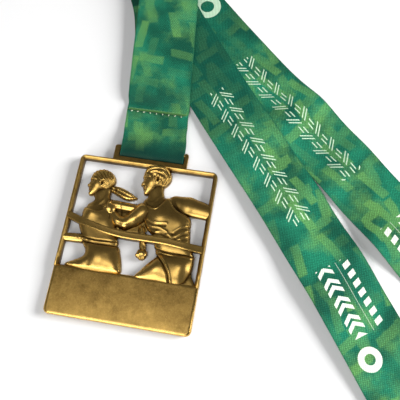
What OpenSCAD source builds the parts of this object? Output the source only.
// Finisher medal: an open die-cast frame with two relief runners breaking a
// finish tape, hung by a slotted tab from a sewn loop of satin neck ribbon.
// It lies on its back face: +Z is the relief side, +Y points from the blank
// base plate to the hanger tab, and the origin is the centre of the back face,
// tab included.

/* [Medal body] */
// Outer width of the frame
body_w = 65; // [63:0.5:68]
// Outer height of the frame, without the hanger tab
body_h = 75; // [75:0.5:77]
// Thickness of the rails from back face to ridge
rail_t = 3.6; // [3:0.1:4.2]
// Width of the side and top rails
rail_w = 2; // [1.6:0.1:2.4]
// Radius of the four outer corners
corner_r = 2.5; // [1.5:0.5:4]
// Height of the blank base plate
plate_h = 22; // [20:0.5:22]
// Thickness of the blank base plate
plate_t = 3.2; // [2.6:0.1:3.6]

/* [Hanger tab] */
// Width of the tab
tab_w = 35; // [34:0.5:40]
// Height of the tab above the top rail
tab_h = 7.5; // [7:0.5:8]
// Thickness of the tab
tab_t = 2.2; // [1.8:0.1:2.4]
// Radius of the round bar that the ribbon wraps
bar_r = 1.1; // [0.9:0.05:1.15]
// Length of the ribbon slot
slot_w = 31.2; // [31:0.1:32]

/* [Relief] */
// Height of the runners' backs above the medal's back face
relief_floor = 0.6; // [0.4:0.1:1]
// Height of each relief step
relief_step = 0.7; // [0.5:0.1:0.8]
// Width of the finish tape band
tape_w = 2.6; // [2:0.1:3]
// Thickness of the finish tape band
tape_t = 1.2; // [0.8:0.1:1.4]

/* [Ribbon] */
// Width of the satin ribbon
ribbon_w = 30; // [28:0.5:30.5]
// Thickness of the satin ribbon
ribbon_t = 0.4; // [0.3:0.05:0.45]
// Thickness of the sewing thread
thread_d = 0.5; // [0.3:0.1:0.6]
// Number of stitches across the ribbon
stitch_count = 9; // [6:1:14]

/* [Hidden] */

half_w = body_w / 2;
half_h = body_h / 2;
window_bottom = -half_h + plate_h;
window_top = half_h - rail_w;
inner_x = half_w - rail_w;
bevel = 1.2;
tab_top = half_h + tab_h;
tab_z = (rail_t - tab_t) / 2;
bar_y = tab_top - bar_r - 0.2;
bar_z = rail_t / 2;
slot_bottom = half_h + 1.8;
relief_top = rail_t;
relief_inset = 0.9;
limb_floor = 0.8;
limb_t = 2.6;
half_ribbon = ribbon_w / 2;
ponytail_floor = 1.4;
ponytail_t = 2.2;
lead_arm_low = -4.6;
lead_arm_size = [9, 4.2];
low_hand_at = [4.9, -5.2];
low_hand_r = 2.7;
tab_corner_r = 2;

// The tape's middle line, from the left rail to the right rail
tape_line = [[-31.5, 7.5], [-22, 4.6], [-13, 2.6], [-4.5, 1.7], [5, 1.6], [14, 1.5], [22, 0.9], [31.5, 0.4]];

// Ribbon rings: [x, y, z, heading of the width, pitch, half width]. The strip
// travels square to its width: pitch 0 is flat, 90 is straight up.
seam_y = 66.5;
seam_z = 0.6;
seam_gap = 1.1;
seam_x = -1.5;
stitch_inset = 0.6;
needle_z = 1.38 + thread_d / 2;
bobbin_z = 0.01 + thread_d / 4;
loop_x = 0.5;
loop_dip = 2.5;
loop_end_y = bar_y - loop_dip;
loop_r = bar_r + 0.3 + ribbon_t / 2;
loop_rings = concat(
  [[seam_x, seam_y - seam_gap, 1.1, 0, 180, half_ribbon],
   [-0.8, 57, 1.9, 0, 185, half_ribbon],
   [0.2, 48, 3.3, 0, 183, half_ribbon]],
  [for (a = [0:30:180]) [loop_x, loop_end_y - loop_r * sin(a), bar_z + loop_r * cos(a), 0, 180 + a, half_ribbon]],
  [[0.2, 48, 0.2, 0, 360, half_ribbon],
   [-0.8, 57, 0.2, 0, 360, half_ribbon],
   [seam_x, seam_y - seam_gap, 0.5, 0, 362, half_ribbon]]);

// One fold of the strip: the width lies along the crease, and the strip turns
// half a turn over or under itself
function fold_rings(x, y, crease, half, z_in, z_out, pitch, turn) =
  [for (a = [0:45:180])
    [x - sin(crease) * cos(pitch) * sin(a) * abs(z_out - z_in) / 2,
     y + cos(crease) * cos(pitch) * sin(a) * abs(z_out - z_in) / 2,
     z_in + (z_out - z_in) * (1 - cos(a)) / 2, crease, pitch + turn * a, half]];

crown_fold = fold_rings(-13, 147, 30, 15.5, 6, 0.2, 0, -1);
far_fold = fold_rings(188, -44, 98.8, 25.5, 0.2, 1, -180, -1);
near_fold = fold_rings(160, -98, 184, 17.6, 1, 1.8, -360, 1);
inner_fold = fold_rings(-17, 138, 210, 15, 1, 2.2, -180, -1);

front_rings = concat(
  [[-1.5, seam_y + seam_gap, 0.9, 0, 4, half_ribbon], [-2.3, 73, 2.2, 4, 10, half_ribbon],
   [-3, 80, 3.1, 5, 5, half_ribbon], [-5, 100, 3.8, 5, 2, half_ribbon], [-7.6, 128, 5.5, 8, 2, half_ribbon],
   [-10, 138, 6, 14, 0, half_ribbon]],
  crown_fold);
right_rings = concat([crown_fold[4]],
  [[10, 123, 0.2, 44.5, -180, half_ribbon], [41, 93, 0.2, 46.5, -180, half_ribbon],
   [73, 65, 0.2, 48, -180, half_ribbon], [105, 35, 0.2, 46, -180, half_ribbon],
   [130, 11, 0.2, 45, -180, half_ribbon], [165, -22, 0.2, 45, -180, half_ribbon]],
  far_fold);
neck_rings = concat([far_fold[4]], near_fold);
left_rings = concat([near_fold[4]],
  [[147, -80, 1.8, 215, -180, half_ribbon], [133, -61, 0.3, 215.5, -180, half_ribbon],
   [119, -41, 0.2, 216, -180, half_ribbon], [95, -8, 0.2, 216.5, -180, half_ribbon],
   [78, 14, 0.3, 217, -180, half_ribbon], [64, 32, 0.9, 218.5, -180, half_ribbon],
   [41, 60, 0.9, 219, -180, half_ribbon], [11, 98, 0.9, 217.5, -180, half_ribbon],
   [-4, 118, 0.9, 215, -180, half_ribbon]],
  inner_fold);
back_rings = concat([inner_fold[4]],
  [[-11.5, 127, 2.2, 203, -360, half_ribbon], [-7.5, 114, 2.1, 193, -360, half_ribbon],
   [-5, 100, 2.1, 186, -360, half_ribbon], [-3, 80, 2, 185, -362, half_ribbon],
   [-2.3, 73, 1.45, 184, -368, half_ribbon], [-1.5, seam_y + seam_gap, 0.3, 180, -362, half_ribbon]]);

bronze = [0.55, 0.42, 0.15];
ribbon_green = [0.07, 0.45, 0.34];
thread_green = [0.18, 0.5, 0.2];

// Everything is drawn about the centre of the frame, then moved down by half
// the tab, so that the origin is the centre of the whole medal's back face
centre_shift = [0, -tab_h / 2, 0];

module metal() {
  color(bronze) translate(centre_shift) children();
}

module cloth() {
  color(ribbon_green) translate(centre_shift) children();
}

module thread() {
  color(thread_green) translate(centre_shift) children();
}

// ---------------------------------------------------------------- outlines

module body_outline() {
  offset(r = corner_r)
    square([body_w - 2 * corner_r, body_h - 2 * corner_r], center = true);
}

module window_outline() {
  translate([-inner_x, window_bottom])
    square([2 * inner_x, window_top - window_bottom]);
}

// Rounds the corners of an outline without moving its straight sides
module soften(r) {
  offset(r = r, $fn = 24) offset(delta = -r) children();
}

module tape_outline() {
  intersection() {
    for (i = [0:len(tape_line) - 2])
      hull() {
        translate(tape_line[i]) circle(d = tape_w, $fn = 12);
        translate(tape_line[i + 1]) circle(d = tape_w, $fn = 12);
      }
    square([body_w - 1.2, body_h], center = true);
  }
}

module woman_outline() {
  soften(0.4) union() {
    polygon([[-25.4, 11.5], [-25.8, 4], [-23, -2], [-20.2, -7], [-20.4, -9.6], [-27.6, -14], [-27.6, window_bottom],
      [-3, window_bottom], [-3, -11.5], [-5.8, -4], [-8, 1.8], [-10.5, 8], [-11, 15.5], [-14, 17.4], [-22, 14.6]]);
    polygon([[-21.8, 13], [-21.4, 20], [-14.2, 22], [-13.8, 16]]);
    translate([-18.6, 24.6]) scale([6.6, 7.4]) circle(r = 1, $fn = 32);
  }
}

module man_outline() {
  soften(0.4) union() {
    polygon([[2, 18], [3.4, 10], [5, 6.5], [9, 2.8], [10.4, -1.6], [12, -4.6], [7.6, -9.6], [4.2, window_bottom],
      [30.4, window_bottom], [28.8, -11.8], [27.4, -8.6], [28.2, -4.8], [26.8, 0], [25, 3.4], [24, 10], [23.4, 13.8],
      [17, 17.2], [13, 23.6], [6, 21]]);
    polygon([[1.2, 17], [0.8, 24], [11.6, 27], [12.4, 22]]);
    translate([4, 30]) scale([6.9, 7.6]) circle(r = 1, $fn = 32);
  }
}

module front_arm_outline() {
  soften(0.4) polygon([[6.5, 18], [-2, 17.4], [-4.2, 13.8], [-6.8, 7.6], [-10.2, 10], [-11.2, 14], [-13.6, 15.6],
    [-16.6, 13.4], [-16.4, 11], [-13.4, 8.6], [-10, 5.2], [-5.6, 4.2], [-2, 5.4], [6.5, 10.4]]);
}

module rear_arm_outline() {
  soften(0.4) polygon([[12.6, 23.8], [20, 24.8], [31, 22], [31, 14.8], [23, 14.4], [17, 17.2]]);
}

// The woman's far arm and the low ground between the two runners
module rear_ground_outline() {
  soften(0.4) polygon([[-15, 17.5], [-11, 18.4], [4, 17.2], [4, 5], [-9, 4], [-13, 8]]);
}

// A relief outline that steps inwards as it rises to the ridge of the rails
module relief() {
  shelf = relief_top - 2 * relief_step;
  translate([0, 0, relief_floor]) linear_extrude(shelf - relief_floor) children();
  for (i = [1:2])
    translate([0, 0, shelf + (i - 1) * relief_step])
      linear_extrude(relief_step) offset(delta = -relief_inset * i) children();
}

// ---------------------------------------------------------------- ribbon

// The four corners of a ring's cross-section
function ring_corners(r) =
  let (w = [cos(r[3]), sin(r[3]), 0] * r[5],
       n = [sin(r[3]) * sin(r[4]), -cos(r[3]) * sin(r[4]), cos(r[4])] * ribbon_t / 2,
       c = [r[0], r[1], r[2]])
  [c - w - n, c + w - n, c + w + n, c - w + n];

// A flat strip swept through its rings as one closed solid
module strip(rings) {
  last = 4 * (len(rings) - 1);
  points = [for (r = rings) each ring_corners(r)];
  sides = [for (i = [0:len(rings) - 2], k = [0:3])
    let (a = 4 * i + k, b = 4 * i + (k + 1) % 4)
    each [[a, a + 4, b], [b, a + 4, b + 4]]];
  polyhedron(points, concat(sides, [[0, 1, 2, 3], [last + 3, last + 2, last + 1, last]]), convexity = 6);
}

// ---------------------------------------------------------------- sub-parts

module left_rail() {
  metal() linear_extrude(rail_t) intersection() {
    difference() { body_outline(); window_outline(); }
    translate([-half_w, window_bottom]) square([rail_w, window_top - window_bottom]);
  }
}

module right_rail() {
  mirror([1, 0, 0]) left_rail();
}

// The top rail, notched where the man's head stands against it
module top_rail() {
  metal() difference() {
    linear_extrude(rail_t) intersection() {
      body_outline();
      translate([-half_w, window_top]) square([body_w, rail_w]);
    }
    translate([0, 0, relief_floor]) linear_extrude(rail_t) man_outline();
  }
}

module base_plate() {
  metal() {
    linear_extrude(plate_t - bevel) plate_outline(0);
    translate([0, 0, plate_t - bevel]) linear_extrude(bevel) plate_outline(bevel / 2);
  }
}

module plate_outline(inset) {
  intersection() {
    offset(delta = -inset) body_outline();
    translate([-half_w, -half_h]) square([body_w, plate_h]);
  }
}

module hanger_tab() {
  metal() {
    translate([0, 0, tab_z]) linear_extrude(tab_t) difference() {
      translate([-tab_w / 2, half_h]) tab_outline();
      translate([-slot_w / 2, slot_bottom]) square([slot_w, tab_h]);
    }
    translate([-slot_w / 2, bar_y, bar_z]) rotate([0, 90, 0]) cylinder(r = bar_r, h = slot_w, $fn = 48);
  }
}

// The tab's outline with its two top corners rounded
module tab_outline() {
  intersection() {
    translate([0, -2 * tab_corner_r]) offset(r = tab_corner_r, $fn = 32)
      translate([tab_corner_r, tab_corner_r]) square([tab_w - 2 * tab_corner_r, tab_h]);
    square([tab_w, tab_h]);
  }
}

module woman_runner() {
  metal() relief() woman_outline();
}

module woman_ponytail() {
  metal() translate([0, 0, ponytail_floor]) linear_extrude(ponytail_t) difference() {
    soften(0.3) polygon([[-13, 23], [-9, 22.8], [-2.4, 20], [-8.4, 18.6], [-12.6, 20.6]]);
    woman_outline();
  }
}

module woman_lead_arm() {
  metal() translate([0, 0, limb_floor]) linear_extrude(limb_t) difference() {
    translate([-inner_x, lead_arm_low]) square(lead_arm_size);
    woman_outline();
  }
}

module woman_rear_arm() {
  metal() translate([0, 0, limb_floor]) linear_extrude(limb_t) difference() {
    rear_ground_outline();
    woman_outline();
    man_outline();
  }
}

module man_runner() {
  metal() relief() man_outline();
}

module man_front_arm() {
  metal() translate([0, 0, relief_top]) linear_extrude(2 * relief_step) difference() {
    front_arm_outline();
    tape_outline();
  }
}

module man_rear_arm() {
  metal() translate([0, 0, limb_floor]) linear_extrude(limb_t + relief_step) difference() {
    rear_arm_outline();
    man_outline();
    translate([inner_x, -half_h]) square([rail_w, body_h]);
  }
}

module man_low_hand() {
  metal() translate([0, 0, limb_floor]) linear_extrude(limb_t) difference() {
    union() {
      translate(low_hand_at) circle(r = low_hand_r, $fn = 32);
      polygon([[1.4, 4.9], [3.6, 4.9], [6.3, -4], [3, -4.5]]);
    }
    rear_ground_outline();
  }
}

module finish_tape() {
  metal() translate([0, 0, relief_top]) linear_extrude(tape_t) tape_outline();
}

module ribbon_loop() {
  cloth() strip(loop_rings);
}

module front_strand() {
  cloth() strip(front_rings);
}

module right_strand() {
  cloth() strip(right_rings);
}

module neck_end() {
  cloth() strip(neck_rings);
}

module left_strand() {
  cloth() strip(left_rings);
}

module back_strand() {
  cloth() strip(back_rings);
}

// One row of stitches across the ribbon, each a short bar lying on the cloth
module stitch_row(z, d) {
  row_w = ribbon_w - 1;
  pitch = row_w / stitch_count;
  for (i = [0:stitch_count - 1])
    translate([seam_x - row_w / 2 + (i + 0.1) * pitch, seam_y - seam_gap - stitch_inset, z])
      rotate([0, 90, 0]) cylinder(d = d, h = 0.8 * pitch, $fn = 24);
}

module needle_thread() {
  thread() stitch_row(needle_z, thread_d);
}

module bobbin_thread() {
  thread() stitch_row(bobbin_z, thread_d / 2);
}

left_rail();
top_rail();
right_rail();
base_plate();
hanger_tab();
woman_runner();
woman_ponytail();
woman_lead_arm();
woman_rear_arm();
man_runner();
man_front_arm();
man_rear_arm();
man_low_hand();
finish_tape();
ribbon_loop();
front_strand();
right_strand();
neck_end();
left_strand();
back_strand();
needle_thread();
bobbin_thread();
